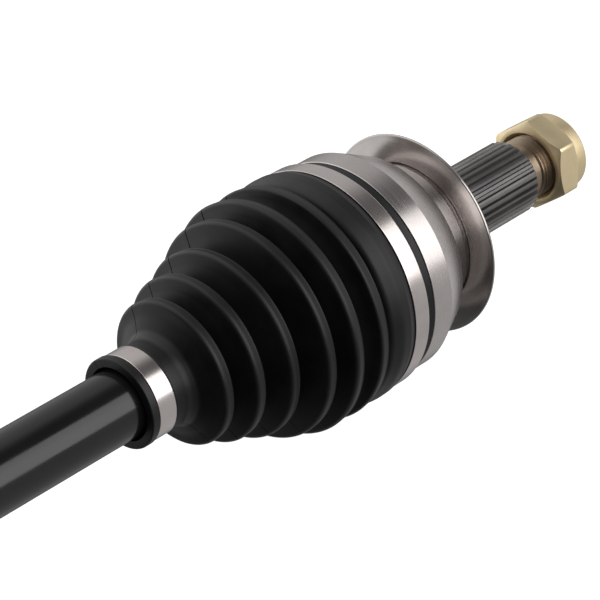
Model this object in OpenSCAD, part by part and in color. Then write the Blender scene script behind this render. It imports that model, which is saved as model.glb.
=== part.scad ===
// Front-wheel-drive half shaft: ball joint with threaded wheel stub, bar, tripod joint with gearbox stub.
// X runs along the axle, positive towards the wheel. The origin is on the axis, in the plane of the
// shoulder that the wheel bearing seats on. All lengths are in millimetres.

/* [Shaft] */
// Diameter of the bar between the joints
bar_d = 25; // [24:0.5:26]
// Distance between the centres of the two joints
joint_span = 380; // [340:5:420]

/* [Outer joint] */
// Diameter of the six balls
ball_d = 16; // [15.6:0.1:16]
// Diameter of the circle through the ball centres
ball_circle_d = 57; // [57:0.1:57.6]
// Outer diameter of the bell
bell_d = 84.8; // [84:0.2:87]
// Outer diameter of the dust shield
shield_d = 78.2; // [74:0.2:84]
// Distance from the ball plane to the wheel bearing shoulder
centre_to_shoulder = 36; // [36:0.5:38]

/* [Wheel stub] */
// Tip diameter of the wheel stub spline
stub_spline_d = 29; // [28:0.5:30]
// Number of teeth on the wheel stub spline
stub_teeth = 30; // [26:1:32]
// Nominal diameter of the wheel stub thread
thread_d = 24; // [22:1:24]
// Width across the flats of the axle nut
nut_flats = 32; // [30:1:34]

/* [Inner joint] */
// Outer diameter of the tripod housing
housing_d = 82; // [82:1:86]
// Outer diameter of the rollers
roller_d = 31; // [30:0.5:31]
// Radius from the axis to the middle of each roller
trunnion_pitch_r = 20.5; // [20.5:0.1:21]
// Tip diameter of the gearbox stub spline
gear_spline_d = 26; // [25:0.5:28]
// Number of teeth on the gearbox stub spline
gear_teeth = 26; // [24:1:28]

/* [Hidden] */
round_fn = 96;          // smoothness of every turned surface
gap = 0.1;              // air between pieces that nest in each other
outer_x = -centre_to_shoulder;
inner_x = outer_x - joint_span;

// Bar and its two splined ends
bar_r = bar_d / 2;
shaft_tip_r = 11.4;
shaft_root_r = 10.5;
shaft_teeth = 24;
ring_groove_r = 9.8;    // floor of the circlip grooves
circlip_r = 12.5;
circlip_w = 1.4;
clip_gap = 0.05;        // air round a snap ring in its groove
spline_slack = 0.08;    // air round the bar's splines
bar_chamfer = 0.6;

// Outer joint, measured from the ball plane
ball_r = ball_d / 2;
ball_pitch_r = ball_circle_d / 2;
track_r = ball_r + 0.25;
track_slack = 1.6;      // sideways room that the balls need at full swivel
half_swivel = 22;       // swivel between cage and either race, in degrees
race_sphere_r = 25.4;
race_half_w = 11.5;
cage_in_r = 25.7;
cage_out_r = 31.2;
cage_half_w = 12.5;
window_half_l = 9.6;    // half length of a cage window, round the cage
bell_sphere_r = 31.5;
bell_r = bell_d / 2;
boot_seat_r = bell_r - 1.8;
mouth_x = -18;
mouth_r = 36.6;
flare_x = -11;
flare_r = 29.6;
cavity_end_x = 24.4;
lip_end_x = -1.9;
band_end_x = 7.3;       // end of the cylindrical band of the bell
edge_x = 20.2;          // outboard edge of the bell
edge_r = bell_r - 6.1;
neck_r = 28.5;
neck_end_x = 32.7;
shield_seat_r = 26;
shield_t = 1.2;         // thickness of the pressed sheet
shield_dish = 0.9;      // how far the shield's rim leans out from its seat

// Wheel stub, measured from the ball plane
journal_r = 18.8;       // clears the nut, so a bearing can be slid on
journal_end_x = centre_to_shoulder + 11;
spline_start_x = journal_end_x + 2;
spline_end_x = centre_to_shoulder + 55.1;
thread_r = thread_d / 2;
thread_end_x = spline_end_x + 29.5;
thread_relief = 0.9;    // depth of the neck before the thread
stub_tooth_h = 1.35;
stub_tip_r = stub_spline_d / 2;
stub_root_r = stub_tip_r - stub_tooth_h;
centre_hole_r = 3;      // drilled centre in the end of the thread
centre_hole_h = 6;
nut_x = spline_end_x + 10;
nut_h = 11;
collar_h = 6;
collar_r = nut_flats / 2;

// Inner joint, measured from the spider's middle
roller_r = roller_d / 2;
roller_half_w = 5.5;
trunnion_r = 7.5;
trunnion_end = 28.7;
needle_r = 1;
needle_count = 24;
needle_pitch_r = trunnion_r + needle_r + 0.06;
roller_bore_r = needle_pitch_r + needle_r + 0.06;
retainer_z = trunnion_pitch_r + roller_half_w + 0.3;
retainer_h = 1.2;
spider_r = 14.5;
spider_half_w = 9;
channel_r = roller_r + 1.3;
housing_r = housing_d / 2;
housing_mouth_x = 24;
housing_floor_x = -38;
housing_back_x = -48;
housing_bore_r = 18.6;
scallop_r = 20;         // hollows between the tracks, on the outside of the housing
scallop_end_x = 5;
gear_journal_r = 17.5;
gear_journal_end_x = -76;
gear_spline_r = gear_spline_d / 2;
gear_end_x = -114;
gear_clip_x = -106;
gear_tooth_h = 1.2;

// Boots: [radius of crest, place of crest] from the small end to the large end
outer_crests = [[26.8, -88.2], [31.0, -77.2], [35.2, -65.4], [41.1, -54.2], [44.6, -43.4], [44.8, -32.0]];
inner_crests = [[25, 88], [30, 77], [34.5, 65.5], [38.5, 54], [41.5, 42]];
wall = 2.2;             // thickness of the rubber
valley_depth = 5.5;
land_half_w = 1.5;      // half width of each crest
face_foot = 2.6;        // from the middle of a crest to the foot of its faces
seat_r = bar_r + 3;     // under the small clamps
lip_r = bar_r + 4.5;    // lip beside each small clamp
band_t = 1.25;          // thickness of the large clamps
small_band_t = 0.85;

function spline_points(tip, root, teeth, slack = 0) = [for (i = [0 : teeth - 1])
    let (pitch = 360 / teeth, mid = i * pitch, extra = slack * 57.3 / tip)
    each [for (corner = [[root + slack, -0.3 * pitch - extra], [tip + slack, -0.16 * pitch - extra],
        [tip + slack, 0.16 * pitch + extra], [root + slack, 0.3 * pitch + extra]])
        corner[0] * [cos(mid + corner[1]), sin(mid + corner[1])]]];

// A turned shape about X from points of [radius, x]
module lathe(points) {
    rotate([0, 90, 0])
        rotate_extrude($fn = round_fn)
            polygon(points);
}

// A ring about X
module ring(in_r, out_r, x0, x1) {
    lathe([[in_r, x0], [out_r, x0], [out_r, x1], [in_r, x1]]);
}

// A round bar about X
module rod(r, x0, x1) {
    lathe([[0, x0], [r, x0], [r, x1], [0, x1]]);
}

// A toothed bar about X
module toothed_rod(tip, root, teeth, x0, x1, slack = 0) {
    translate([x0, 0, 0])
        rotate([0, 90, 0])
            linear_extrude(x1 - x0)
                polygon(spline_points(tip, root, teeth, slack));
}

// Space between two planes across X
module slab(half_w) {
    translate([-half_w, -100, -100])
        cube([2 * half_w, 200, 200]);
}

// Outline of a ball track, widened sideways by the slack
module track_outline() {
    translate([ball_pitch_r, 0]) {
        for (side = [-1, 1])
            translate([0, side * track_slack])
                circle(track_r, $fn = round_fn);
        square([2 * track_r, 2 * track_slack], center = true);
    }
}

// Curved ball track in the plane of the axis, from one swivel angle to the other
module ball_track(angle_in, angle_out) {
    rotate([90, 0, 0])
        rotate([0, 0, 90 - angle_out])
            rotate_extrude(angle = angle_out + angle_in, $fn = round_fn)
                track_outline();
}

// Rounded end of a ball track at a swivel angle
module track_end(angle) {
    rotate([0, angle, 0])
        translate([0, 0, ball_pitch_r]) {
            for (side = [-1, 1])
                translate([0, side * track_slack, 0])
                    sphere(track_r, $fn = round_fn);
            rotate([90, 0, 0])
                cylinder(r = track_r, h = 2 * track_slack, center = true, $fn = round_fn);
        }
}

// Open snap ring
module snap_ring(in_r, out_r, x0, x1) {
    difference() {
        ring(in_r, out_r, x0, x1);
        translate([x0 - 1, -1.5, in_r - 2])
            cube([x1 - x0 + 2, 3, out_r - in_r + 4]);
    }
}

module axle_shaft() {
    outer_shoulder = -race_half_w - gap;
    inner_shoulder = -joint_span + spider_half_w + gap;
    color("#1c1c1e")
        translate([outer_x, 0, 0])
            difference() {
                union() {
                    lathe([[0, inner_shoulder], [bar_r - bar_chamfer, inner_shoulder],
                        [bar_r, inner_shoulder + bar_chamfer], [bar_r, outer_shoulder - bar_chamfer],
                        [bar_r - bar_chamfer, outer_shoulder], [0, outer_shoulder]]);
                    toothed_rod(shaft_tip_r, shaft_root_r, shaft_teeth, outer_shoulder - 1, 15);
                    toothed_rod(shaft_tip_r, shaft_root_r, shaft_teeth, -joint_span - 13, inner_shoulder + 1);
                }
                ring(ring_groove_r, 20, race_half_w + gap, race_half_w + gap + circlip_w + 0.1);
                ring(ring_groove_r, 20, -joint_span - spider_half_w - gap - circlip_w - 0.1,
                    -joint_span - spider_half_w - gap);
            }
}

module outer_circlip() {
    start = race_half_w + gap + clip_gap;
    color("#3a3a3c")
        translate([outer_x, 0, 0])
            snap_ring(ring_groove_r + clip_gap, circlip_r, start, start + circlip_w);
}

module outer_inner_race() {
    color("#9a9a9e")
        translate([outer_x, 0, 0])
            difference() {
                intersection() {
                    sphere(race_sphere_r, $fn = round_fn);
                    slab(race_half_w);
                }
                for (i = [0 : 5])
                    rotate([60 * i, 0, 0])
                        ball_track(60, 60);
                toothed_rod(shaft_tip_r, shaft_root_r, shaft_teeth, -20, 20, spline_slack);
            }
}

module outer_cage() {
    window_half_w = ball_r + gap;
    color("#8a8a90")
        translate([outer_x, 0, 0])
            difference() {
                intersection() {
                    difference() {
                        sphere(cage_out_r, $fn = round_fn);
                        sphere(cage_in_r, $fn = round_fn);
                    }
                    slab(cage_half_w);
                }
                for (i = [0 : 5])
                    rotate([60 * i, 0, 0])
                        translate([-window_half_w, -window_half_l, 18])
                            cube([2 * window_half_w, 2 * window_half_l, 20]);
            }
}

module outer_ball(i) {
    color("#c8c8cc")
        translate([outer_x, 0, 0])
            rotate([60 * (i - 1), 0, 0])
                translate([0, 0, ball_pitch_r])
                    sphere(ball_r, $fn = round_fn);
}

module outer_race() {
    color("#a8a09e")
        translate([outer_x, 0, 0])
            difference() {
                union() {
                    lathe([[0, mouth_x], [boot_seat_r, mouth_x], [boot_seat_r, lip_end_x], [bell_r, lip_end_x],
                        [bell_r, band_end_x], [edge_r, edge_x], [edge_r - 1.3, edge_x + 0.9],
                        [neck_r + 2.5, edge_x + 1.8], [neck_r, edge_x + 3.6], [neck_r, neck_end_x], [shield_seat_r, neck_end_x],
                        [shield_seat_r, centre_to_shoulder], [journal_r, centre_to_shoulder],
                        [journal_r, journal_end_x - 1], [stub_root_r - 0.2, journal_end_x + 1.5],
                        [stub_root_r - 0.2, spline_start_x], [thread_r - thread_relief, spline_start_x],
                        [thread_r - thread_relief, spline_end_x + 3], [thread_r, spline_end_x + 4],
                        [thread_r, thread_end_x - 1], [thread_r - 1, thread_end_x], [0, thread_end_x]]);
                    intersection() {
                        toothed_rod(stub_tip_r, stub_root_r, stub_teeth, spline_start_x - 1, spline_end_x);
                        lathe([[0, spline_start_x - 1], [stub_tip_r - 1.5, spline_start_x - 1],
                            [stub_tip_r + 1, spline_start_x + 1.5], [stub_tip_r + 1, spline_end_x - 2],
                            [stub_tip_r - 1.2, spline_end_x], [0, spline_end_x]]);
                    }
                }
                intersection() {
                    sphere(bell_sphere_r, $fn = round_fn);
                    translate([-100, -100, -100])
                        cube([100 + cavity_end_x, 200, 200]);
                }
                lathe([[0, mouth_x - 2], [mouth_r + 2, mouth_x - 2], [flare_r, flare_x], [0, flare_x]]);
                for (i = [0 : 5])
                    rotate([60 * i, 0, 0]) {
                        ball_track(60, half_swivel);
                        track_end(half_swivel);
                    }
                lathe([[0, thread_end_x + 1], [centre_hole_r + 1, thread_end_x + 1], [centre_hole_r, thread_end_x - 2],
                    [0, thread_end_x - centre_hole_h]]);
            }
}

module dust_shield() {
    rim = shield_d / 2;
    inner = shield_seat_r + 0.05;
    back = neck_end_x + 0.05;
    front = back + shield_t;
    collar_end = centre_to_shoulder - 0.5;
    color("#b0a8a4")
        translate([outer_x, 0, 0])
            lathe([[inner, back], [neck_r, back], [rim - 0.3, back + shield_dish],
                [rim, back + shield_dish + 0.3], [rim, front + shield_dish - 0.3], [rim - 0.3, front + shield_dish],
                [neck_r, front], [inner + shield_t, front], [inner + shield_t, collar_end], [inner, collar_end]]);
}

module axle_nut() {
    corner_r = nut_flats / sqrt(3);
    bore_r = thread_r + 0.05;
    end_x = nut_x + nut_h + collar_h;
    outer_r = collar_r - 0.7;
    color("#b5a383")
        translate([outer_x, 0, 0])
            difference() {
                union() {
                    intersection() {
                        translate([nut_x, 0, 0])
                            rotate([0, 90, 0])
                                rotate([0, 0, 10])
                                    cylinder(r = corner_r, h = nut_h, $fn = 6);
                        lathe([[0, nut_x - 1], [collar_r - 1, nut_x - 1], [corner_r + 1, nut_x + 2.6],
                            [corner_r + 1, nut_x + nut_h - 2.4], [collar_r - 0.6, nut_x + nut_h + 0.1],
                            [0, nut_x + nut_h + 0.1]]);
                    }
                    lathe([[0, nut_x + nut_h - 1], [outer_r, nut_x + nut_h - 1], [outer_r, end_x - 1],
                        [outer_r - 1, end_x], [0, end_x]]);
                }
                rod(bore_r, nut_x - 2, end_x + 2);
                lathe([[0, nut_x - 1], [thread_r + 2.6, nut_x - 1], [bore_r, nut_x + 1.6], [0, nut_x + 1.6]]);
                rod(thread_r + 1, nut_x + nut_h + 0.5, end_x + 2);
            }
}

// Rubber boot: seat on the shaft, convolutions, and a shoulder over the joint. Each convolution has steep
// faces and a narrow crest.
module boot(crests, small, large) {
    side = crests[0][1] < large[0][1] ? 1 : -1;
    count = len(crests);
    tip = face_foot - wall;
    outside = concat(small, [for (crest = crests) each [
        [crest[0] - valley_depth, crest[1] - side * face_foot],
        [crest[0] - 1, crest[1] - side * (land_half_w + 0.5)],
        [crest[0], crest[1] - side * (land_half_w - 0.8)],
        [crest[0], crest[1] + side * land_half_w],
        [crest[0] - valley_depth, crest[1] + side * face_foot]]], large);
    inside = [for (i = [count - 1 : -1 : 0]) each [
        [crests[i][0] - valley_depth - wall, crests[i][1] + side * face_foot],
        [crests[i][0] - wall, crests[i][1] + side * tip],
        [crests[i][0] - wall, crests[i][1] - side * tip],
        [crests[i][0] - valley_depth - wall, crests[i][1] - side * face_foot]]];
    lathe(concat(outside, inside));
}

// Small end of a boot as boot() takes it. x is the inner end of its clamp seat and side points to the joint.
function small_end(x, side) = [[bar_r + 1, x + side * 4.5], [bar_r + 0.05, x - side * 0.4],
    [bar_r + 0.05, x - side * 8], [bar_r + 1.1, x - side * 11.4], [lip_r - 1.3, x - side * 11.4],
    [lip_r, x - side * 10.2], [lip_r, x - side * 8], [seat_r, x - side * 8],
    [seat_r, x - side * 0.2], [seat_r + 0.3, x + side * 4.5]];

module outer_boot() {
    color("#202022")
        translate([outer_x, 0, 0])
            boot(outer_crests, small_end(-102, 1),
                [[bell_r + 1.6, -22], [bell_r + 1.6, -18], [bell_r, -13.5], [bell_r, -6.4], [bell_r + 0.7, -6.4],
                    [bell_r + 0.7, lip_end_x - gap], [boot_seat_r + 0.05, lip_end_x - gap],
                    [boot_seat_r + 0.05, mouth_x - gap], [bell_r - 1.2, mouth_x - 1.5], [bell_r - 0.8, -22]]);
}

// Boot band about X with its pinched ear on the +Y side
module boot_clamp(in_r, out_r, x0, x1, ear_x, ear_w) {
    ear_l = 5;
    ring(in_r, out_r, x0, x1);
    translate([ear_x, out_r - 0.2, -ear_w / 2])
        cube([ear_l, 3.3, ear_w]);
}

module outer_large_clamp() {
    color("#b4aca8")
        translate([outer_x, 0, 0])
            boot_clamp(bell_r + 0.05, bell_r + 0.05 + band_t, -13.3, -6.5, -12.4, 7);
}

module outer_small_clamp() {
    color("#b4aca8")
        translate([outer_x, 0, 0])
            boot_clamp(seat_r + 0.05, seat_r + 0.05 + small_band_t, -109.9, -102.3, -108.6, 5);
}

module inner_housing() {
    relief_r = 25.8;
    gear_root_r = gear_spline_r - gear_tooth_h;
    groove_r = gear_root_r - 1;
    color("#a8a09e")
        translate([inner_x, 0, 0])
            difference() {
                union() {
                    lathe([[0, housing_mouth_x], [housing_r - 1, housing_mouth_x], [housing_r, housing_mouth_x - 1],
                        [housing_r, housing_floor_x + 2], [housing_r - 4, housing_floor_x - 4], [26, housing_back_x],
                        [gear_journal_r + 3, housing_back_x - 3], [gear_journal_r + 3, housing_back_x - 6],
                        [gear_journal_r, housing_back_x - 6.5], [gear_journal_r, gear_journal_end_x],
                        [gear_root_r - 0.2, gear_journal_end_x - 1.5], [0, gear_journal_end_x - 1.5]]);
                    intersection() {
                        toothed_rod(gear_spline_r, gear_root_r, gear_teeth, gear_end_x, gear_journal_end_x);
                        lathe([[0, gear_end_x], [gear_spline_r - 2, gear_end_x],
                            [gear_spline_r + 1, gear_end_x + 3], [gear_spline_r + 1, gear_journal_end_x],
                            [0, gear_journal_end_x]]);
                    }
                }
                for (i = [0 : 2])
                    rotate([120 * i, 0, 0]) {
                        translate([0, 0, trunnion_pitch_r])
                            rod(channel_r, housing_floor_x, housing_mouth_x + 5);
                        translate([0, 0, -housing_r - 12.5])
                            rod(scallop_r, housing_back_x - 2, scallop_end_x);
                    }
                rod(housing_bore_r, housing_floor_x, housing_mouth_x + 5);
                lathe([[0, 0], [housing_bore_r, 0], [relief_r, housing_mouth_x],
                    [relief_r + 0.3, housing_mouth_x + 1], [0, housing_mouth_x + 1]]);
                ring(groove_r, 20, gear_clip_x, gear_clip_x + circlip_w + 0.2);
            }
}

module gearbox_circlip() {
    color("#3a3a3c")
        translate([inner_x, 0, 0])
            snap_ring(gear_spline_r - gear_tooth_h - 1 + clip_gap, gear_spline_r + 0.3,
                gear_clip_x + gap, gear_clip_x + gap + circlip_w);
}

module tripod_spider() {
    color("#9a9a9e")
        translate([inner_x, 0, 0])
            difference() {
                union() {
                    rod(spider_r, -spider_half_w, spider_half_w);
                    for (i = [0 : 2])
                        rotate([120 * i, 0, 0])
                            translate([0, 0, 11])
                                cylinder(r = trunnion_r, h = trunnion_end - 11, $fn = round_fn);
                }
                for (i = [0 : 2])
                    rotate([120 * i, 0, 0])
                        translate([0, 0, retainer_z - 0.05])
                            difference() {
                                cylinder(r = trunnion_r + 2, h = retainer_h + 0.1, $fn = round_fn);
                                translate([0, 0, -1])
                                    cylinder(r = trunnion_r - 0.6, h = retainer_h + 3, $fn = round_fn);
                            }
                toothed_rod(shaft_tip_r, shaft_root_r, shaft_teeth, -20, 20, spline_slack);
            }
}

module tripod_roller(i) {
    color("#c0c0c4")
        translate([inner_x, 0, 0])
            rotate([120 * (i - 1), 0, 0])
                translate([0, 0, trunnion_pitch_r])
                    difference() {
                        intersection() {
                            sphere(roller_r, $fn = round_fn);
                            translate([-50, -50, -roller_half_w])
                                cube([100, 100, 2 * roller_half_w]);
                        }
                        cylinder(r = roller_bore_r, h = 30, center = true, $fn = round_fn);
                    }
}

module needle_set(i) {
    color("#d0d0d4")
        translate([inner_x, 0, 0])
            rotate([120 * (i - 1), 0, 0])
                translate([0, 0, trunnion_pitch_r])
                    for (n = [0 : needle_count - 1])
                        rotate([0, 0, 360 * n / needle_count])
                            translate([needle_pitch_r, 0, 0])
                                cylinder(r = needle_r, h = 2 * roller_half_w - 0.4, center = true, $fn = 24);
}

module roller_retainer(i) {
    color("#3a3a3c")
        translate([inner_x, 0, 0])
            rotate([120 * (i - 1), 0, 0])
                translate([0, 0, retainer_z])
                    difference() {
                        cylinder(r = trunnion_r + 3.2, h = retainer_h, $fn = round_fn);
                        translate([0, 0, -1])
                            cylinder(r = trunnion_r - 0.55, h = retainer_h + 2, $fn = round_fn);
                        translate([0, -1.5, -1])
                            cube([trunnion_r + 5, 3, retainer_h + 2]);
                    }
}

module spider_circlip() {
    end = -spider_half_w - gap - clip_gap;
    color("#3a3a3c")
        translate([inner_x, 0, 0])
            snap_ring(ring_groove_r + clip_gap, circlip_r, end - circlip_w, end);
}

module inner_boot() {
    color("#202022")
        translate([inner_x, 0, 0])
            boot(inner_crests, small_end(97, -1),
                [[housing_r + 2.4, 32], [housing_r + 2.4, 26], [housing_r + 1.6, 20.5], [housing_r + 1.6, 12.5],
                    [housing_r + 2.4, 12.5], [housing_r + 2.4, 8.5], [housing_r + 0.05, 8.5],
                    [housing_r + 0.05, housing_mouth_x + gap], [housing_r - 1, housing_mouth_x + 1.5],
                    [housing_r, 32]]);
}

module inner_large_clamp() {
    color("#b4aca8")
        translate([inner_x, 0, 0])
            boot_clamp(housing_r + 1.65, housing_r + 1.65 + band_t, 12.7, 20.3, 14, 7);
}

module inner_small_clamp() {
    color("#b4aca8")
        translate([inner_x, 0, 0])
            boot_clamp(seat_r + 0.05, seat_r + 0.05 + small_band_t, 97.3, 104.9, 98.6, 5);
}

axle_shaft();
outer_race();
dust_shield();
axle_nut();
outer_inner_race();
outer_cage();
outer_ball(1);  // outer_ball_1
outer_ball(2);  // outer_ball_2
outer_ball(3);  // outer_ball_3
outer_ball(4);  // outer_ball_4
outer_ball(5);  // outer_ball_5
outer_ball(6);  // outer_ball_6
outer_circlip();
outer_boot();
outer_large_clamp();
outer_small_clamp();
inner_housing();
tripod_spider();
tripod_roller(1);  // tripod_roller_1
tripod_roller(2);  // tripod_roller_2
tripod_roller(3);  // tripod_roller_3
needle_set(1);  // needle_set_1
needle_set(2);  // needle_set_2
needle_set(3);  // needle_set_3
roller_retainer(1);  // roller_retainer_1
roller_retainer(2);  // roller_retainer_2
roller_retainer(3);  // roller_retainer_3
spider_circlip();
inner_boot();
inner_large_clamp();
inner_small_clamp();
gearbox_circlip();
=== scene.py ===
import math

import bpy
from mathutils import Matrix, Vector


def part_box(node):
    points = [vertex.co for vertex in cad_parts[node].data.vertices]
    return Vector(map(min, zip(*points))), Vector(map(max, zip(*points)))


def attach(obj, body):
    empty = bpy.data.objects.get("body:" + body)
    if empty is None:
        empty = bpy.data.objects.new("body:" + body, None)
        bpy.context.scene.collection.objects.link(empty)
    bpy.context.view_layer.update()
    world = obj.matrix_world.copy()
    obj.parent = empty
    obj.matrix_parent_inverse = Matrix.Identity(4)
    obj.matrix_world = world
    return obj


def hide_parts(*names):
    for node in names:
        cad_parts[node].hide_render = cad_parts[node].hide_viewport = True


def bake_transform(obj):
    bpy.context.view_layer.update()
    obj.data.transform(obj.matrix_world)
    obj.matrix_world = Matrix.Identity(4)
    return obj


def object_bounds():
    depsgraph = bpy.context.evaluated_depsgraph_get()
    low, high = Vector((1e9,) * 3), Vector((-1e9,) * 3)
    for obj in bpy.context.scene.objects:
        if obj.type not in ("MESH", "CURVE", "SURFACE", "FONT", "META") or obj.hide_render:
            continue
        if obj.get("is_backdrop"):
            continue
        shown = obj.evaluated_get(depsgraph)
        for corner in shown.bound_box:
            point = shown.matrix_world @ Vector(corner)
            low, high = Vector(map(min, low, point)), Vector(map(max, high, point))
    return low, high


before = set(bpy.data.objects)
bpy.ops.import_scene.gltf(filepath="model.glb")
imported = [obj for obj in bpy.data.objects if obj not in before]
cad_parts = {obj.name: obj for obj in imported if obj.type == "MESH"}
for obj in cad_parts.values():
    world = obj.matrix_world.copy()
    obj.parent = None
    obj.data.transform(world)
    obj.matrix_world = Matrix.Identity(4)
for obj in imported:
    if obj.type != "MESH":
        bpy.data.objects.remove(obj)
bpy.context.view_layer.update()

MM = 0.001
TAU = 2 * math.pi
scene = bpy.context.scene

# Places along the axle, in metres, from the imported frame
race_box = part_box("outer_inner_race")
roller_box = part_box("tripod_roller_1")
OUTER = (race_box[0].x + race_box[1].x) / 2
INNER = (roller_box[0].x + roller_box[1].x) / 2


# ---------------------------------------------------------------- mesh code

def radial(turn):
    """Unit vector away from the axle; turn 0 points up and a quarter turn points along +Y."""
    return Vector((0, math.sin(turn), math.cos(turn)))


def add_mesh(name, verts, faces, material, normals=None, sharp=35):
    """Makes an object from points in metres; normals holds one vector for each face corner, zero for automatic."""
    mesh = bpy.data.meshes.new(name)
    mesh.from_pydata(verts, [], faces)
    mesh.materials.append(material)
    mesh.polygons.foreach_set("use_smooth", [True] * len(mesh.polygons))
    mesh.set_sharp_from_angle(angle=math.radians(sharp))
    if normals:
        mesh.normals_split_custom_set(normals)
    mesh.update()
    obj = bpy.data.objects.new(name, mesh)
    scene.collection.objects.link(obj)
    return obj


def fillet_path(points, closed=False, step=14):
    """Rounds the corners of a path of (x, radius, fillet) and returns (point, point, normal, normal) for each piece of it."""
    count = len(points)
    spots = []
    for i, point in enumerate(points):
        here = Vector(point[:2])
        size = point[2] if len(point) > 2 else 0
        ends = not closed and i in (0, count - 1)
        if ends or size == 0:
            spots.append([(here, None)])
            continue
        before = here - Vector(points[i - 1][:2])
        after = Vector(points[(i + 1) % count][:2]) - here
        room = 0.49 * min(before.length, after.length)
        before.normalize()
        after.normalize()
        bend = math.atan2(before.x * after.y - before.y * after.x, before.dot(after))
        if abs(bend) < 1e-4:
            spots.append([(here, None)])
            continue
        reach = min(size * math.tan(abs(bend) / 2), room)
        size = reach / math.tan(abs(bend) / 2)
        side = -1 if bend > 0 else 1
        first = Vector((-before.y, before.x))
        centre = here - before * reach - side * size * first
        parts = max(2, math.ceil(abs(math.degrees(bend)) / step))
        arc = []
        for k in range(parts + 1):
            turn = bend * k / parts
            normal = Vector((first.x * math.cos(turn) - first.y * math.sin(turn),
                             first.x * math.sin(turn) + first.y * math.cos(turn)))
            arc.append((centre + side * size * normal, normal))
        spots.append(arc)
    pieces = []
    order = range(count if closed else count - 1)
    for i in order:
        arc = spots[i]
        pieces += [(arc[k][0], arc[k + 1][0], arc[k][1], arc[k + 1][1]) for k in range(len(arc) - 1)]
        start, end = arc[-1][0], spots[(i + 1) % count][0][0]
        if (end - start).length > 1e-6:
            along = (end - start).normalized()
            normal = Vector((-along.y, along.x))
            pieces.append((start, end, normal, normal))
    if not closed:
        arc = spots[-1]
        pieces += [(arc[k][0], arc[k + 1][0], arc[k][1], arc[k + 1][1]) for k in range(len(arc) - 1)]
    return pieces


def even_turns(columns, lines=(), half=math.radians(0.42)):
    """Column places round the axle. Each line gets a column of its own between two close ones."""
    turns = []
    for j in range(columns):
        turn = TAU * j / columns
        if all(abs((turn - line + math.pi) % TAU - math.pi) > 3 * half for line in lines):
            turns.append((turn, False))
    for line in lines:
        turns += [((line + k * half) % TAU, k == 0) for k in (-2.6, -1, 0, 1, 2.6)]
    return sorted(turns)


def revolve(name, bands, centre, material, columns=128, closed=False, sharp=35, lines=(), groove=0.0):
    """A closed shape about the axle from bands of (point, point, normal, normal), in millimetres from centre.

    A point is (x, radius) or a function of the turn that gives it. A band without normals is shaded automatically.
    The path runs left to right on the outside of the shape and right to left on its inside. A band with a true
    fifth value is cut by a groove along each line.
    """
    def place(point, turn):
        return point(turn) if callable(point) else point

    turns = even_turns(columns, lines)
    columns = len(turns)
    rings = [band[0] for band in bands]
    if not closed:
        rings.append(bands[-1][1])
    verts, index = [], []
    for k, ring in enumerate(rings):
        spot = place(ring, 0)
        if spot[1] < 1e-6:
            index.append([len(verts)] * columns)
            verts.append(Vector((centre + spot[0] * MM, 0, 0)))
            continue
        dent = Vector((0, 0))
        if lines:
            around = [(bands[k - 1], 3), (bands[k % len(bands)], 2)]
            dent = sum((band[end] for band, end in around if len(band) > 4), dent)
            dent = dent.normalized() * groove if dent.length else dent
        row = []
        for turn, cut in turns:
            x, r = place(ring, turn)
            if cut:
                x, r = x - dent.x, r - dent.y
            row.append(len(verts))
            verts.append(Vector((centre + x * MM, 0, 0)) + radial(turn) * (r * MM))
        index.append(row)
    faces, normals = [], []
    for k, band in enumerate(bands):
        low, high = index[k], index[(k + 1) % len(rings)]
        for j in range(columns):
            n = (j + 1) % columns
            corners = [(low[j], 2, j), (high[j], 3, j), (high[n], 3, n), (low[n], 2, n)]
            kept = []
            for corner in corners:
                if all(corner[0] != other[0] for other in kept):
                    kept.append(corner)
            if len(kept) < 3:
                continue
            faces.append([corner[0] for corner in kept])
            auto = len(band) < 4 or band[2] is None or turns[j][1] or turns[n][1]
            for _, end, column in kept:
                if auto:
                    normals.append((0, 0, 0))
                    continue
                normal = band[end]
                out = radial(turns[column][0])
                normals.append((normal.x, normal.y * out.y, normal.y * out.z))
    return add_mesh(name, verts, faces, material, normals, sharp)


def turned(name, points, centre, material, columns=128, closed=False):
    """A turned shape from (x, radius, fillet) points."""
    return revolve(name, fillet_path(points, closed), centre, material, columns, closed)


def plain(rings):
    """Bands between rings, shaded automatically."""
    return [(rings[k], rings[k + 1], None, None) for k in range(len(rings) - 1)]


def put(obj, body, *nodes):
    """Rides obj on a body in place of CAD nodes."""
    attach(obj, body)
    if nodes:
        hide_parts(*nodes)
    return obj


# ---------------------------------------------------------------- materials

def new_material(name, color, rough, metallic=0.0, specular=0.5):
    """A Principled material and a small kit for wiring noise into it."""
    material = bpy.data.materials.new(name)
    material.use_nodes = True
    tree = material.node_tree
    shader = tree.nodes["Principled BSDF"]
    shader.inputs["Base Color"].default_value = (*color, 1)
    shader.inputs["Roughness"].default_value = rough
    shader.inputs["Metallic"].default_value = metallic
    shader.inputs["Specular IOR Level"].default_value = specular
    return material, tree, shader


def noise(tree, scale, stretch=(1, 1, 1), detail=3.0, roughness=0.5):
    """Noise in the object's own space; scale is per metre and stretch multiplies each axis."""
    coords = tree.nodes.new("ShaderNodeTexCoord")
    mapping = tree.nodes.new("ShaderNodeMapping")
    texture = tree.nodes.new("ShaderNodeTexNoise")
    mapping.inputs["Scale"].default_value = stretch
    texture.inputs["Scale"].default_value = scale
    texture.inputs["Detail"].default_value = detail
    texture.inputs["Roughness"].default_value = roughness
    tree.links.new(coords.outputs["Object"], mapping.inputs["Vector"])
    tree.links.new(mapping.outputs["Vector"], texture.inputs["Vector"])
    return texture.outputs["Fac"]


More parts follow.
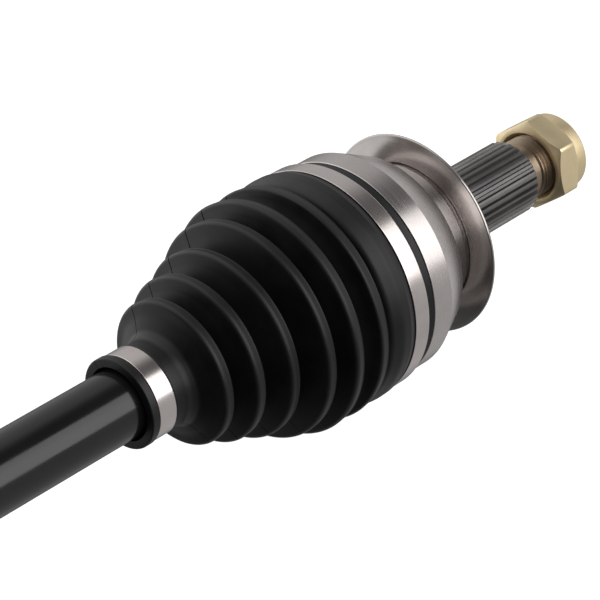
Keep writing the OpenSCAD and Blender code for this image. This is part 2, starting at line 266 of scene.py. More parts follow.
def ranged(tree, value, low, high, low_out, high_out):
    """Maps a value from one range to another."""
    node = tree.nodes.new("ShaderNodeMapRange")
    node.inputs["From Min"].default_value = low
    node.inputs["From Max"].default_value = high
    node.inputs["To Min"].default_value = low_out
    node.inputs["To Max"].default_value = high_out
    tree.links.new(value, node.inputs["Value"])
    return node.outputs["Result"]


def mixed(tree, factor, first, second):
    """A colour between two, by a factor."""
    node = tree.nodes.new("ShaderNodeMix")
    node.data_type = "RGBA"
    node.inputs["A"].default_value = (*first, 1)
    node.inputs["B"].default_value = (*second, 1)
    tree.links.new(factor, node.inputs["Factor"])
    return node.outputs["Result"]


def bumped(tree, shader, height, strength, distance):
    """Bump from a height."""
    node = tree.nodes.new("ShaderNodeBump")
    node.inputs["Strength"].default_value = strength
    node.inputs["Distance"].default_value = distance
    tree.links.new(height, node.inputs["Height"])
    tree.links.new(node.outputs["Normal"], shader.inputs["Normal"])


def steel(name, light, dark, rough_low, rough_high, lathe=0.10, patch=90):
    """Metal with fine lathe rings across the axle and soft patches in tone and gloss."""
    material, tree, shader = new_material(name, light, (rough_low + rough_high) / 2, 1.0)
    cloud = noise(tree, patch, (0.6, 1, 1), 4.0, 0.55)
    rings = noise(tree, 90, (34, 0.35, 0.35), 2.0, 0.6)
    tree.links.new(mixed(tree, ranged(tree, cloud, 0.35, 0.7, 0, 1), light, dark), shader.inputs["Base Color"])
    tree.links.new(ranged(tree, rings, 0.3, 0.7, rough_low, rough_high), shader.inputs["Roughness"])
    bumped(tree, shader, rings, lathe, 0.00008)
    return material


def rubber(name):
    """Matte black moulded rubber with a fine grain and a faint bloom."""
    material, tree, shader = new_material(name, (0.005, 0.005, 0.0053), 0.45, 0.0, 0.38)
    bloom = noise(tree, 60, (1, 1, 1), 4.0, 0.6)
    grain = noise(tree, 2600, (1, 1, 1), 2.0, 0.5)
    tree.links.new(mixed(tree, ranged(tree, bloom, 0.35, 0.7, 0, 1), (0.0035, 0.0035, 0.0037), (0.0075, 0.0075, 0.0078)),
                   shader.inputs["Base Color"])
    tree.links.new(ranged(tree, bloom, 0.3, 0.7, 0.39, 0.50), shader.inputs["Roughness"])
    bumped(tree, shader, grain, 0.10, 0.00008)
    return material


def paint(name):
    """Gloss black paint with a slight orange peel."""
    material, tree, shader = new_material(name, (0.006, 0.006, 0.0065), 0.16, 0.0, 0.55)
    peel = noise(tree, 420, (0.5, 1, 1), 2.0, 0.5)
    smudge = noise(tree, 30, (1, 1, 1), 3.0, 0.5)
    tree.links.new(ranged(tree, smudge, 0.3, 0.7, 0.13, 0.21), shader.inputs["Roughness"])
    bumped(tree, shader, peel, 0.05, 0.0002)
    return material


def plated(name, light, dark, rough_low, rough_high):
    """Zinc plating with a yellow tint; a darker brown copy of it paints shade on the stub's neck and thread."""
    material, tree, shader = new_material(name, light, (rough_low + rough_high) / 2, 1.0)
    tint = noise(tree, 130, (1, 1, 1), 4.0, 0.6)
    fine = noise(tree, 1500, (1, 1, 1), 2.0, 0.5)
    tree.links.new(mixed(tree, ranged(tree, tint, 0.3, 0.7, 0, 1), light, dark),
                   shader.inputs["Base Color"])
    tree.links.new(ranged(tree, tint, 0.3, 0.7, rough_low, rough_high), shader.inputs["Roughness"])
    bumped(tree, shader, fine, 0.06, 0.00006)
    return material


BELL = steel("bell_steel", (0.63, 0.585, 0.57), (0.56, 0.52, 0.505), 0.24, 0.29, 0.03)
SHIELD = steel("shield_steel", (0.56, 0.53, 0.51), (0.49, 0.46, 0.445), 0.21, 0.22, 0.0)
BAND = steel("clamp_steel", (0.70, 0.64, 0.62), (0.62, 0.565, 0.545), 0.22, 0.24, 0.0)
SPLINE = steel("spline_steel", (0.22, 0.212, 0.208), (0.16, 0.155, 0.152), 0.36, 0.46, 0.05)
BEARING = steel("bearing_steel", (0.62, 0.62, 0.63), (0.52, 0.52, 0.53), 0.14, 0.22, 0.04)
SPRING = steel("spring_steel", (0.10, 0.10, 0.105), (0.06, 0.06, 0.063), 0.35, 0.50, 0.04)
RUBBER = rubber("boot_rubber")
PAINT = paint("bar_paint")
ZINC = plated("nut_zinc", (0.93, 0.79, 0.52), (0.82, 0.66, 0.40), 0.36, 0.48)
# The stub's neck and thread get a darker brown copy of the nut's plating: painted shade, where the nut's counterbore
# shades them.
PLATING_PAINTED_SHADE = plated("thread_plating_painted_shade", (0.40, 0.32, 0.24), (0.30, 0.235, 0.175), 0.28, 0.36)


# ---------------------------------------------------------------- outer joint

# Bell outline, in millimetres from the ball plane
BELL_R = (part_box("outer_race")[1].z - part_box("outer_race")[0].z) / 2 / MM
SEAT_R = BELL_R - 1.8
MOUTH_X, LIP_X, BAND_X, EDGE_X = -18.0, -1.9, 7.3, 20.2
NECK_R, NECK_X = 28.5, 32.7
SHOULDER_X = -OUTER / MM
JOURNAL_R, JOURNAL_X = 18.8, SHOULDER_X + 11
SPLINE_R, SPLINE_X = 14.5, SHOULDER_X + 55.1
THREAD_R, STUB_X = 12.0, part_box("outer_race")[1].x / MM + SHOULDER_X
NUT_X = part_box("axle_nut")[0].x / MM + SHOULDER_X

BAR_R = 12.5

# Ball tracks
BALL_PITCH, TRACK_R, TRACK_SLACK = 28.5, 8.25, 1.6
CAVITY_R, CAVITY_X, TRACK_TURN = 31.5, 24.4, math.radians(22)


def track_radius(x, turn):
    """How far the ball tracks of the bell reach from the axle at a place along it."""
    swing = (turn + TAU / 12) % (TAU / 6) - TAU / 12
    reach = 0.0
    r = CAVITY_R
    for _ in range(4):
        across = max(0.0, abs(r * math.sin(swing)) - TRACK_SLACK)
        if across >= TRACK_R:
            return 0.0
        depth = math.sqrt(TRACK_R ** 2 - across ** 2)
        if x <= (BALL_PITCH + depth) * math.sin(TRACK_TURN):
            height = math.sqrt(max(0.0, (BALL_PITCH + depth) ** 2 - x * x))
        else:
            beyond = x - BALL_PITCH * math.sin(TRACK_TURN)
            if beyond >= depth:
                return 0.0
            height = BALL_PITCH * math.cos(TRACK_TURN) + math.sqrt(depth ** 2 - beyond ** 2)
        reach = height / math.cos(swing)
        r = reach
    return reach


def cavity_radius(x, turn):
    """Inner surface of the bell."""
    ball = math.sqrt(max(0.0, CAVITY_R ** 2 - x * x))
    flare = 29.6 + (-11 - x) if x < -11 else 0.0
    return min(max(ball, flare, track_radius(x, turn)), SEAT_R - 1.2)


def bell():
    steps = 34
    places = [CAVITY_X - 0.01 - (CAVITY_X - 0.01 - MOUTH_X) * k / steps for k in range(steps + 1)]
    inside = [(CAVITY_X, 0.0)] + [lambda turn, x=x: (x, cavity_radius(x, turn)) for x in places]
    outline = [(MOUTH_X, SEAT_R - 1.2, 0), (MOUTH_X, SEAT_R, 0.5), (LIP_X, SEAT_R, 0.3), (LIP_X, BELL_R, 0.35),
               (BAND_X, BELL_R, 0.5), (EDGE_X, BELL_R - 6.1, 0.3), (EDGE_X + 0.3, BELL_R - 7.4, 0.3),
               (EDGE_X + 0.8, NECK_R + 1.6, 1.5), (EDGE_X + 3.6, NECK_R, 1.5), (NECK_X - 1.2, NECK_R, 0.2),
               (NECK_X - 1.1, NECK_R - 1.3, 0.2), (NECK_X, NECK_R - 1.3, 0.1), (NECK_X, 26, 0.1),
               (SHOULDER_X, 26, 0.4), (SHOULDER_X, JOURNAL_R, 0.3), (JOURNAL_X, JOURNAL_R, 0.4),
               (JOURNAL_X + 2.2, 12.6, 0.4), (JOURNAL_X + 3.5, 12.6, 0), (JOURNAL_X + 3.5, 0, 0)]
    bands = plain(inside) + [(inside[-1], outline[0][:2], None, None)] + fillet_path(outline)
    bands = [band for band in bands if callable(band[1]) or callable(band[0]) or band[0] != band[1]]
    obj = revolve("bell_casting", bands, OUTER, BELL, 180)
    return put(obj, "bell", "outer_race")


def tooth_radius(turn, teeth, tip, root):
    """Radius of a spline with rounded roots at an angle."""
    phase = abs((turn * teeth / TAU + 0.5) % 1 - 0.5)
    if phase < 0.17:
        return tip
    share = min(1.0, (phase - 0.17) / 0.16)
    return tip - (tip - root) * (share * share * (3 - 2 * share) * 0.35 + share * 0.65)


def splined(name, teeth, tip, root, x0, x1, runout, chamfer, centre, grooves=()):
    """A toothed stub: the roots run out at x0, and the teeth are chamfered at x1; x1 may be left of x0."""
    way = 1 if x1 > x0 else -1

    def ring(x):
        def spot(turn):
            r = tooth_radius(turn, teeth, tip, root)
            rise = max(0.0, 1 - abs(x - x0) / runout)
            r = max(r, root + (tip - root) * rise * rise)
            return (x, min(r, tip - max(0.0, chamfer - abs(x1 - x)) * 0.9))
        return spot

    def land(turn):
        r = tooth_radius(turn, teeth, tip, root)
        return (x1 - way * (chamfer - (tip - r) / 0.9 if tip - r < chamfer * 0.9 else 0), r)

    floor = root - 0.6
    rings = [(x0 - way * 0.2, 0.0), (x0 - way * 0.2, floor)]
    rings += [ring(x0 + way * runout * k / 4) for k in range(5)]
    for start, end in grooves:
        rings += [ring(start), lambda turn, x=start: (x + way * 0.01, root - 1), lambda turn, x=end: (x, root - 1),
                  lambda turn, x=end: (x + way * 0.01, tooth_radius(turn, teeth, tip, root))]
    rings += [land, ring(x1), (x1, floor), (x1, 0.0)]
    if way < 0:
        rings.reverse()
    return revolve(name, plain(rings), centre, SPLINE, teeth * 12, sharp=30)


def helical_thread(name, r, pitch, x0, x1, centre, material):
    """A threaded rod end with a chamfer, on a neck that starts at x0."""
    columns, depth = 72, 0.62 * pitch
    turns = math.ceil((x1 - x0) / pitch) + 2
    shape = [(0.0, 0.0), (0.38, 1.0), (0.5, 1.0), (0.88, 0.0)]
    verts, faces = [], []
    rows = turns * len(shape)
    for j in range(columns + 1):
        turn = TAU * j / columns
        for k in range(rows):
            lead, height = shape[k % len(shape)]
            x = x0 - pitch + pitch * (k // len(shape) + lead + j / columns)
            rise = min(1.0, max(0.0, (x - x0 - 2.2) / 1.2))
            tip = r - max(0.0, x - (x1 - 1.3))
            low = min(r - depth, tip)
            level = low + (tip - low) * height * rise if x < x1 - 1.3 or tip > r - depth else tip
            x = min(max(x, x0), x1)
            verts.append(Vector((centre + x * MM, 0, 0)) + radial(turn) * (level * MM))
    for j in range(columns):
        for k in range(rows - 1):
            faces.append((j * rows + k, j * rows + k + 1, (j + 1) * rows + k + 1, (j + 1) * rows + k))
    obj = add_mesh(name, verts, faces, material)
    finish_thread(obj, centre + x0 * MM, centre + x1 * MM)
    return obj


def finish_thread(obj, low, high):
    """Joins the seam of a helical mesh and closes its two ends with fans."""
    import bmesh
    mesh = bmesh.new()
    mesh.from_mesh(obj.data)
    bmesh.ops.remove_doubles(mesh, verts=mesh.verts, dist=2e-6)
    bmesh.ops.dissolve_degenerate(mesh, edges=mesh.edges, dist=1e-6)
    loose = [edge for edge in mesh.edges if len(edge.link_faces) == 1]
    bmesh.ops.holes_fill(mesh, edges=loose, sides=0)
    bmesh.ops.recalc_face_normals(mesh, faces=mesh.faces)
    mesh.to_mesh(obj.data)
    mesh.free()
    obj.data.polygons.foreach_set("use_smooth", [True] * len(obj.data.polygons))
    obj.data.set_sharp_from_angle(angle=math.radians(28))


def wheel_stub():
    put(splined("stub_spline", 30, SPLINE_R, SPLINE_R - 1.35, JOURNAL_X + 2.2, SPLINE_X, 3.0, 1.4, OUTER), "bell")
    put(turned("stub_neck", [(SPLINE_X - 0.5, 0), (SPLINE_X - 0.5, 12.2, 0.1), (SPLINE_X + 0.6, 12.2, 0.4),
                             (SPLINE_X + 1.6, 11.1, 0.8), (SPLINE_X + 3.4, 11.1, 0.3), (SPLINE_X + 3.4, 0)],
               OUTER, PLATING_PAINTED_SHADE), "bell")
    put(helical_thread("stub_thread", THREAD_R, 1.5, SPLINE_X + 2.4, STUB_X, OUTER, PLATING_PAINTED_SHADE), "bell")


def dust_shield():
    rim = (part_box("dust_shield")[1].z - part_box("dust_shield")[0].z) / 2 / MM
    x = NECK_X + 0.05
    outline = [(x, 26.05, 0.1), (x, NECK_R + 0.6, 1.2), (x + 0.85, rim - 1.4, 1.0), (x + 0.95, rim, 0.5),
               (x + 2.1, rim, 0.5), (x + 2.05, rim - 1.2, 0.8), (x + 1.25, NECK_R + 0.8, 1.0),
               (x + 1.25, 27.25, 0.4), (SHOULDER_X - 0.5, 27.25, 0.3), (SHOULDER_X - 0.5, 26.05, 0.3)]
    return put(turned("dust_shield_pressed", outline, OUTER, SHIELD, 160, True), "bell", "dust_shield")


def nut():
    flats = 32.0
    lean = math.radians(-20)
    base, height, collar = NUT_X, 11.0, 15.5
    bore = THREAD_R + 0.05

    def hexagon(turn):
        swing = (turn - lean + TAU / 12) % (TAU / 6) - TAU / 12
        return min(flats / 2 / math.cos(swing), flats / math.sqrt(3) - 0.25)

    def low(inset, drop):
        return lambda turn: (base + (hexagon(turn) - inset - 15.2) * 0.55 + drop, hexagon(turn) - inset)

    def high(inset, drop):
        return lambda turn: (base + height - (hexagon(turn) - inset - 15.2) * 0.5 - drop, hexagon(turn) - inset)

    rings = [(base + 1.9, bore), (base + 0.15, 13.5), (base, 13.75), (base, 14.9), (base + 0.08, 15.2),
             low(0.3, 0.0), low(0.06, 0.05), low(0.0, 0.3), high(0.0, 0.3), high(0.06, 0.05), high(0.3, 0.0),
             (base + height + 0.1, collar + 0.25), (base + height + 0.5, collar)]
    rings += [(base + height + 5 + math.sin(k * math.pi / 8) * 1.0, collar - 1 + math.cos(k * math.pi / 8) * 1.0)
              for k in range(5)]
    rings += [(base + height + 6, 13.5), (base + height + 5.8, 13.15), (base + height + 0.5, 13.05),
              (base + height + 0.5, bore), (base + 1.9, bore)]
    obj = revolve("hex_nut", plain(rings)[:-1] + [(rings[-2], rings[0], None, None)], OUTER, ZINC, 216, True, 24)
    return put(obj, "bell", "axle_nut")


# ---------------------------------------------------------------- boots

PARTING_LINES = (math.radians(-137), math.radians(43))


def convolutions(crests, floors, way):
    """Outer surface of a boot's convolutions as (x, radius, fillet).

    Each one has a steep rounded face towards the small end, a crest that leans away from it, a thin edge, and a
    steep drop to the floor of the next valley.
    """
    points = []
    for (x, r), (low, after) in zip(crests, floors):
        points += [(x - way * 3.3, low, 1.4 if points else 3), (x - way * 0.9, r - 4.4, 12),
                   (x + way * 0.3, r + 0.3, 1.7), (x + way * 3.7, r - 0.35, 0.3), (x + way * 4.0, r - 0.2, 0.1),
                   (x + way * 4.25, r - 1.2, 0.4), (x + way * 4.8, after, 1.2)]
    return points


def inside_of(crests, floors, way, wall=2.1):
    """Inner surface under the convolutions."""
    points = []
    for (x, r), (low, after) in zip(crests, floors):
        points += [(x - way * 2.9, low - wall, 1.0), (x + way * 0.8, r - wall - 0.9, 0.6),
                   (x + way * 2.2, r - wall - 0.9, 0.6), (x + way * 4.0, after - wall, 1.0)]
    return points


def dense(pieces, longest=1.1):
    """Cuts long straight pieces into short ones along the axle."""
    cut = []
    for start, end, n0, n1 in pieces:
        parts = max(1, math.ceil(abs(end.x - start.x) / longest), math.ceil((end - start).length / 2.2))
        for k in range(parts):
            cut.append((start.lerp(end, k / parts), start.lerp(end, (k + 1) / parts),
                        n0.lerp(n1, k / parts), n0.lerp(n1, (k + 1) / parts)))
    return cut


def turned_over(normal):
    return None if normal is None else -normal


def boot(name, outline, inline, cuts, centre, way, columns=144):
    """Builds a boot as closed strips cut across the axle.

    outline is the outer surface and inline the inner one, both from the small end to the large end. cuts holds
    (x, x, body) or (x, x, body, body) for each strip, in the same direction.
    """
    outer, inner = dense(fillet_path(outline)), dense(fillet_path(inline), 2.2)
    made = []
    for number, (start, end, *bodies) in enumerate(cuts):
        strips = []
        for path in (outer, inner):
            kept = [piece for piece in path
                    if (start - 1e-6) * way <= (piece[0].x + piece[1].x) / 2 * way <= (end + 1e-6) * way]
            strips.append(kept)
        top, under = strips
        bands = [(*piece, True) for piece in top]
        bands.append((top[-1][1], under[-1][1], None, None))
        bands += [(b, a, -nb, -na) for a, b, na, nb in reversed(under)]
        bands.append((under[0][0], top[0][0], None, None))
        if way < 0:
            bands = [(b, a, turned_over(nb), turned_over(na), *rest) for a, b, na, nb, *rest in reversed(bands)]
        obj = revolve(f"{name}_{number + 1}", bands, centre, RUBBER, columns, True, 35, PARTING_LINES, 0.9)
        made.append((obj, start, end, bodies))
    return made


def split_at(points, places, way):
    """Adds a point to an outline wherever a cut crosses it."""
    out = [points[0]]
    for a, b in zip(points, points[1:]):
        for place in places:
            if (a[0] - place) * (b[0] - place) < 0:
                share = (place - a[0]) / (b[0] - a[0])
                out.append((place, a[1] + (b[1] - a[1]) * share, 0))
        out.append(b)
    return out


def fit_boot(made, node):
    """Rides each strip that has one body, bakes the transform of each strip between two bodies into its mesh, and puts
    the boot in the place of its CAD node.
    """
    for obj, start, end, bodies in made:
        if len(bodies) == 1:
            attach(obj, bodies[0])
        else:
            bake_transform(obj)
    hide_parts(node)


def small_end(x, way):
    """Lip, clamp seat and neck of a boot on the bar; x is where its seat begins."""
    r = BAR_R
    outline = [(x, r + 1.1, 0.3), (x, r + 4.2, 0.6), (x + way * 3.3, r + 4.2, 0.6), (x + way * 3.45, r + 3, 0.2),
               (x + way * 11.25, r + 3, 0.4), (x + way * 12, r + 3.4, 0.5)]
    inline = [(x, r + 1.1, 0), (x + way * 3.4, r + 0.1, 0.5), (x + way * 11, r + 0.1, 1)]
    return outline, inline


def outer_boot():
    outline, inline = small_end(-113.4, 1)
    crests = [(-89.7, 26.8), (-78.8, 31.0), (-66.6, 35.2), (-54.6, 40.9), (-44.3, 44.2), (-31.9, 44.3)]
    floors = [(17.6, 19.2), (19.9, 23.0), (23.7, 27.2), (27.9, 32.0), (32.7, 35.2), (35.9, 37.0)]
    outline += [(-95.6, 15.9, 5)] + convolutions(crests, floors, 1)
    outline += [(-26.4, 37.4, 1.2), (-25.0, 42.4, 3.5), (-20, 44.3, 5), (-16.4, 44.2, 0.4), (-13.6, 43.3, 0.4),
                (-13.4, BELL_R, 0.2), (-6.4, BELL_R, 0.2), (-6.3, 42.1, 0.3), (-4.2, 41.6, 1.5), (LIP_X - 0.1, 42.2, 0.3),
                (LIP_X - 0.1, SEAT_R + 0.1, 0)]
    inline += [(-95.4, 13.7, 1)] + inside_of(crests, floors, 1)
    inline += [(-25.6, 35.2, 1), (-23.6, 40.6, 1.5), (-19.6, 41.5, 0.6), (MOUTH_X - 0.1, SEAT_R + 0.1, 0.3),
               (LIP_X - 0.1, SEAT_R + 0.1, 0)]
    places = (-83.5, -60.5, -45.5, -29.4, -14)
    cuts = [(-113.4, -83.5, "shaft"), (-83.5, -60.5, "shaft", "ball_top"), (-60.5, -45.5, "ball_top", "cage"),
            (-45.5, -29.4, "cage", "ball_bottom"), (-29.4, -14, "ball_bottom", "bell"), (-14, LIP_X, "bell")]
    outline, inline = split_at(outline, places, 1), split_at(inline, places, 1)
    fit_boot(boot("outer_boot", outline, inline, cuts, OUTER, 1), "outer_boot")


# ---------------------------------------------------------------- clamps

def clamp(name, r, x0, x1, thick, ear_h, centre, body, node):
    """A steel boot band with a pinched ear on the +Y side, and the step where its ends overlap."""
    ear_half = math.radians(90) * 3.4 / r
    columns = 360

    def lift(turn):
        swing = turn - math.pi / 2
        swing = (swing + math.pi) % TAU - math.pi
        side = abs(swing) / ear_half
        ear = ear_h if side < 0.62 else ear_h * max(0.0, 1 - ((side - 0.62) / 0.38) ** 2) if side < 1 else 0.0
        lap = 0.22 if 0 < swing - ear_half < 0.9 else 0.0
        return max(ear, lap)

    def spot(x, r0):
        return lambda turn: (x, r0 + lift(turn))

    soft, top = 0.22, r + thick
    out = [spot(x0, r + soft), spot(x0, top - soft), spot(x0 + soft * 0.3, top - soft * 0.3), spot(x0 + soft, top),
           spot(x0 + soft * 1.6, top), spot(x1 - soft * 1.6, top), spot(x1 - soft, top),
           spot(x1 - soft * 0.3, top - soft * 0.3), spot(x1, top - soft), spot(x1, r + soft), spot(x1, r), spot(x0, r)]
    bands = [(out[k], out[(k + 1) % len(out)], None, None) for k in range(len(out))]
    obj = revolve(name, bands, centre, BAND, columns, True, 32)
    return put(obj, body, node)


def clamps():
    clamp("outer_large_band", BELL_R + 0.05, -13.35, -6.45, 1.25, 2.9, OUTER, "bell", "outer_large_clamp")
    clamp("outer_small_band", BAR_R + 3.05, -109.85, -102.25, 0.85, 2.6, OUTER, "shaft", "outer_small_clamp")
    clamp("inner_large_band", 41 + 1.65, 12.7, 20.3, 1.25, 2.9, INNER, "housing", "inner_large_clamp")
    clamp("inner_small_band", BAR_R + 3.05, 97.3, 104.9, 0.85, 2.6, INNER, "shaft", "inner_small_clamp")


# ---------------------------------------------------------------- bar

def bar():
    low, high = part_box("axle_shaft")
    span_low, span_high = -(OUTER - INNER) / MM + 9.1, -11.6
    body = turned("axle_bar", [(span_low, 0), (span_low, BAR_R, 0.6), (span_high, BAR_R, 0.6), (span_high, 0)],
                  OUTER, PAINT, 96)
    put(body, "shaft", "axle_shaft")
    put(splined("bar_outer_spline", 24, 11.4, 10.5, span_high - 1, high.x / MM + SHOULDER_X, 1.0, 0.8, OUTER,
                [(11.6, 13.1)]), "shaft")
    put(splined("bar_inner_spline", 24, 11.4, 10.5, span_low + 1, low.x / MM + SHOULDER_X, 1.0, 0.8, OUTER,
                [(span_low - 18.2, span_low - 19.7)]), "shaft")


# ---------------------------------------------------------------- inner joint

CHANNEL_R, CHANNEL_PITCH = 16.8, 20.5
HOUSING_R, HOUSING_MOUTH, HOUSING_FLOOR, HOUSING_BACK = 41.0, 24.0, -38.0, -48.0


def channel_radius(x, turn):
    """Inner surface of the tripod housing: three roller tracks round a central bore that opens towards the mouth."""
    swing = (turn + TAU / 6) % (TAU / 3) - TAU / 6
    across = CHANNEL_PITCH * math.sin(swing)
    bore = 18.6 if x < 0 else 18.6 + 7.2 * x / HOUSING_MOUTH
    if abs(across) >= CHANNEL_R or abs(swing) > TAU / 4:
        return bore
    return max(bore, CHANNEL_PITCH * math.cos(swing) + math.sqrt(CHANNEL_R ** 2 - across ** 2))


def scallop_depth(x, turn):
    """How deep the outside of the housing is scalloped between two tracks."""
    swing = (turn) % (TAU / 3) - TAU / 6
    centre, r = 53.5, 20.0
    across = centre * math.sin(swing)
    if abs(across) >= r:
        return 0.0
    surface = centre * math.cos(swing) - math.sqrt(r * r - across * across)
    share = min(1.0, max(0.0, (5.5 - x) / 7.0))
    return max(0.0, HOUSING_R - surface) * share * share * (3 - 2 * share)


def housing():
    def outer(x, r):
        return lambda turn: (x, min(r, HOUSING_R - scallop_depth(x, turn)))

    stub = [(-77.6, 0), (-77.6, 11.6, 0.2), (-76, 17.5, 0.4), (-54.5, 17.5, 0.5), (-54, 20.5, 0.6), (-51, 20.5, 1),
            (-48, 26, 2), (-42, 37, 5)]
    bands = fillet_path(stub)
    rings = [(-42.0, 37.0)]
    rings += [outer(x, r) for x, r in ((-40, 38.6), (-38.4, 39.7), (-37, 40.5), (-36, 40.9), (-35, 41))]
    rings += [outer(-35 + 2.4 * k, 41) for k in range(1, 15)]
    rings += [outer(-0.5 + k * 1.0, 41) for k in range(8)]
    rings += [(9.0, 41.0), (22.8, 41.0), (23.6, 40.8), (24.0, 40.0)]
    rings += [lambda turn, x=24 - 62 * k / 14: (x, min(channel_radius(x, turn), 39.0)) for k in range(15)]
    rings += [(HOUSING_FLOOR, 0.0)]
    bands += plain(rings)
    put(revolve("tripod_housing", bands, INNER, BELL, 240), "housing", "inner_housing")
    put(splined("gear_spline", 26, 13.0, 11.8, -76.4, -114, 3.0, 1.6, INNER, [(-104.4, -106)]), "housing")


def inner_boot():
    outline, inline = small_end(108.4, -1)
    crests = [(88, 25.0), (77, 30.0), (65.5, 34.5), (54, 38.5), (42, 41.5)]
    floors = [(17.2, 18.6), (19.2, 22.4), (23.0, 26.8), (27.4, 30.8), (31.4, 34.0)]
    outline += [(93.2, 15.9, 3)] + convolutions(crests, floors, -1)
    outline += [(36.2, 34.4, 1.2), (34.8, 40.0, 3), (31, 43.0, 3), (26, 43.6, 2), (20.7, 43.2, 0.4),
                (20.4, 42.6, 0.2), (12.6, 42.6, 0.2), (12.4, 43.3, 0.3), (8.5, 43.3, 0.5), (8.5, 41.1, 0)]
    inline += [(93.4, 13.7, 1)] + inside_of(crests, floors, -1)
    inline += [(35.8, 32.4, 1), (33.2, 38.4, 1.5), (30, 40.4, 1), (25.8, 40.6, 0.6), (24.1, 41.1, 0.2), (8.5, 41.1, 0)]
    places = (81, 58.5, 46.5, 24.1)
    cuts = [(108.4, 81, "shaft"), (81, 58.5, "shaft", "needles_1"), (58.5, 46.5, "needles_1", "inner_boot_body"),
            (46.5, 24.1, "inner_boot_body", "housing"), (24.1, 8.5, "housing")]
    outline, inline = split_at(outline, places, -1), split_at(inline, places, -1)
    fit_boot(boot("inner_boot", outline, inline, cuts, INNER, -1), "inner_boot")


# ---------------------------------------------------------------- CAD nodes that stay

def dress(names, material):
    for name in names:
        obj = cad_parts[name]
        obj.data.materials.clear()
        obj.data.materials.append(material)
        obj.data.polygons.foreach_set("use_smooth", [True] * len(obj.data.polygons))
        obj.data.set_sharp_from_angle(angle=math.radians(35))


bell()
wheel_stub()
dust_shield()
nut()
outer_boot()
clamps()
bar()
housing()
inner_boot()
dress(["outer_inner_race", "outer_cage", "tripod_spider"], BEARING)
dress([f"outer_ball_{i}" for i in range(1, 7)], BEARING)
dress([f"tripod_roller_{i}" for i in (1, 2, 3)] + [f"needle_set_{i}" for i in (1, 2, 3)], BEARING)
dress([f"roller_retainer_{i}" for i in (1, 2, 3)] + ["outer_circlip", "spider_circlip", "gearbox_circlip"], SPRING)


# ---------------------------------------------------------------- stage, lights and camera

def floor():
    """A plain pale floor at the lowest point of the object. It doesn't show in reflections; the studio's own light does."""
    material, tree, shader = new_material("floor", (0.35, 0.35, 0.35), 0.7, 0.0, 0.1)
    shader.inputs["Emission Color"].default_value = (1, 1, 1, 1)
    shader.inputs["Emission Strength"].default_value = 0.95
    size, level = 6.0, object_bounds()[0].z - 0.0002
    mesh = bpy.data.meshes.new("floor")
    mesh.from_pydata([(-size, -size, level), (size, -size, level), (size, size, level), (-size, size, level)], [],
                     [(0, 1, 2, 3)])
    mesh.materials.append(material)
    obj = bpy.data.objects.new("floor", mesh)
    obj.visible_glossy = False
    obj.visible_diffuse = False
    scene.collection.objects.link(obj)
    obj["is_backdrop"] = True


def softbox(name, place, way, width, height, radiance):
    """A rectangular lamp that faces way, with its width level and square to way."""
    light = bpy.data.lights.new(name, "AREA")
    light.shape = "RECTANGLE"
    light.size, light.size_y = width, height
    light.energy = radiance * math.pi * width * height
    obj = bpy.data.objects.new(name, light)
    scene.collection.objects.link(obj)
    obj.location = place
    obj.rotation_mode = "QUATERNION"
    obj.rotation_quaternion = Vector(way).to_track_quat("-Z", "Y")
    obj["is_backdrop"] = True


def camera():
    """Looks from the bar's side, above and in front, with the outer joint right of the middle of the frame."""
    right = Vector((0.6857, -0.7279, 0)).normalized()
    ahead = Vector((0.6082, 0.5735, -0.5489)).normalized()
    up = right.cross(ahead).normalized()
    data = bpy.data.cameras.new("camera")
    data.sensor_width, data.lens = 36, 156
    obj = bpy.data.objects.new("camera", data)
    scene.collection.objects.link(obj)
    place = Vector((OUTER, 0, 0)) - right * 0.0178 - up * 0.01076 - ahead * 0.9316
    turn = Matrix((right, up, -ahead)).transposed()
    obj.matrix_world = Matrix.Translation(place) @ turn.to_4x4()
    data.clip_start, data.clip_end = 0.01, 50
    scene.camera = obj


def maths(tree, kind, first, second):
    node = tree.nodes.new("ShaderNodeMath")
    node.operation = kind
    for slot, value in enumerate((first, second)):
        if isinstance(value, (int, float)):
            node.inputs[slot].default_value = value
        else:
            tree.links.new(value, node.inputs[slot])
    return node.outputs[0]


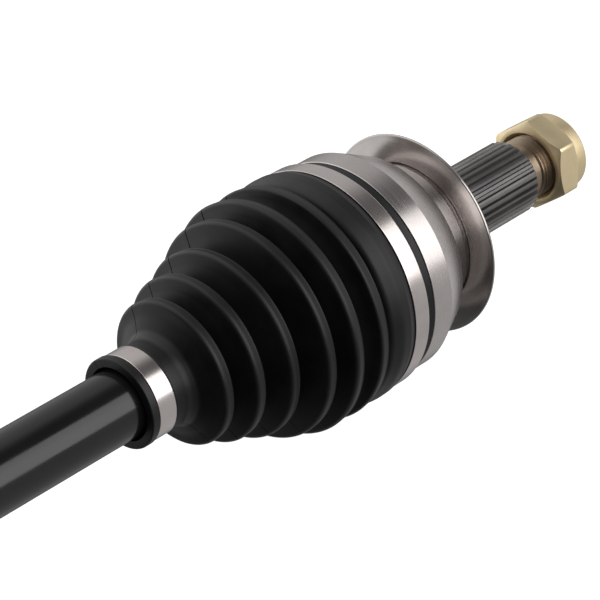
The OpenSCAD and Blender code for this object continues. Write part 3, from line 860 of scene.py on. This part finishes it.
def toward(tree, coords, way, low, high, low_out, high_out):
    """A smooth step in how closely the sky's direction follows way."""
    dot = tree.nodes.new("ShaderNodeVectorMath")
    dot.operation = "DOT_PRODUCT"
    dot.inputs[1].default_value = Vector(way).normalized()
    tree.links.new(coords, dot.inputs[0])
    step = tree.nodes.new("ShaderNodeMapRange")
    step.interpolation_type = "SMOOTHSTEP"
    step.inputs["From Min"].default_value = low
    step.inputs["From Max"].default_value = high
    step.inputs["To Min"].default_value = low_out
    step.inputs["To Max"].default_value = high_out
    tree.links.new(dot.outputs["Value"], step.inputs["Value"])
    return step.outputs["Result"]


def sky():
    """An even grey studio that is dark on the bar's side, with one soft patch of light behind the bar.

    The camera sees it as a pale backdrop.
    """
    world = bpy.data.worlds.new("studio")
    world.use_nodes = True
    tree = world.node_tree
    background = tree.nodes["Background"]
    coords = tree.nodes.new("ShaderNodeTexCoord").outputs["Generated"]
    level = toward(tree, coords, (1, 0, 0), -0.8, 0.35, 0.03, 0.44)
    level = maths(tree, "MULTIPLY", level, toward(tree, coords, (0.608, -0.2, 0.77), 0.82, 0.99, 1.0, 0.2))
    level = maths(tree, "MULTIPLY", level, toward(tree, coords, (0.608, 0.6, -0.53), 0.80, 0.99, 1.0, 0.4))
    behind = toward(tree, coords, (-0.25, 0.85, 0.46), 0.25, 0.88, 0.0, 0.95)
    behind = maths(tree, "MULTIPLY", behind, toward(tree, coords, (1, 0, 0), 0.1, 0.6, 1.0, 0.12))
    behind = maths(tree, "MULTIPLY", behind, toward(tree, coords, (1, 0, 0), -0.92, -0.5, 0.0, 1.0))
    level = maths(tree, "ADD", level, behind)
    for way, low, high, bright in (((1, 0, 0), 0.70, 0.95, 0.22), ((-0.65, 0.68, -0.33), 0.935, 0.998, 0.6)):
        level = maths(tree, "ADD", level, toward(tree, coords, way, low, high, 0.0, bright))
    path = tree.nodes.new("ShaderNodeLightPath")
    pick = tree.nodes.new("ShaderNodeMix")
    tree.links.new(path.outputs["Is Camera Ray"], pick.inputs["Factor"])
    tree.links.new(level, pick.inputs["A"])
    pick.inputs["B"].default_value = 1.0
    tree.links.new(pick.outputs["Result"], background.inputs["Strength"])
    background.inputs["Color"].default_value = (1, 1, 1, 1)
    scene.world = world


def studio():
    """The sky, and one long lamp beside the axle, above and to the camera's right."""
    sky()
    scene.view_settings.view_transform = "Standard"
    side = Vector((0, -0.816, 0.578))
    softbox("key", Vector((OUTER + 0.25, 0, 0)) + side, -side, 1.5, 1.02, 1.95)


camera()
floor()
studio()
